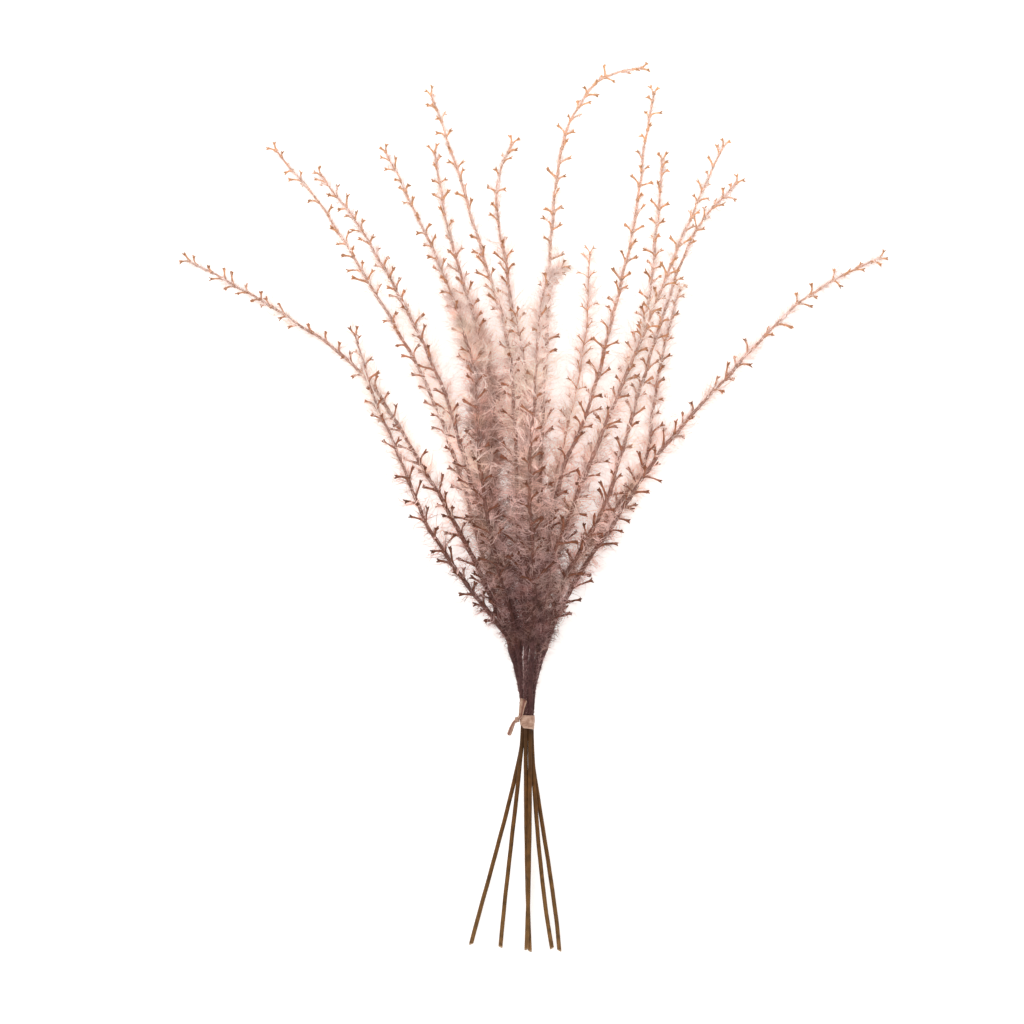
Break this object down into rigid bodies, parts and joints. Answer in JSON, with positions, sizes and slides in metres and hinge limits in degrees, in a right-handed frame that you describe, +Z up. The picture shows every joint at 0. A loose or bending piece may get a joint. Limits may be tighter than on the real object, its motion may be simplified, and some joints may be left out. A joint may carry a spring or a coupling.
{
  "type": "bundle of pampas grass",
  "caption": "Tied bundle of long arching pampas-style grass sprays with fine hairs, lying on its side, for laying on a table or standing in a vase.",
  "frame": {"origin": "middle of the bundle's outline, on the surface it lies on", "axes": "+Y from the cut stem ends to the branch tips, +Z up, +X to the right as seen from above"},
  "size_m": [0.4794, 0.5986, 0.1101],
  "materials": {
    "stem": "dull olive-brown dried stem with fine ridges, dark plum above the tie",
    "branch": "dyed stalks, twigs and fine hairs, dark plum at the fork to pale peach at the tips",
    "raffia": "pinkish tan raffia strip with lengthwise wrinkles"
  },
  "bodies": {
    "root": {"stem_1": "stem", "stem_2": "stem", "stem_3": "stem", "stem_4": "stem", "stem_5": "stem", "stem_6": "stem", "branch_1a": "branch", "branch_1b": "branch", "branch_1c": "branch", "branch_2a": "branch", "branch_2b": "branch", "branch_2c": "branch", "branch_3a": "branch", "branch_3b": "branch", "branch_3c": "branch", "branch_4a": "branch", "branch_4b": "branch", "branch_4c": "branch", "branch_5a": "branch", "branch_5b": "branch", "branch_5c": "branch", "branch_6a": "branch", "branch_6b": "branch", "branch_6c": "branch", "raffia_tie": "raffia"}
  },
  "joints": []
}
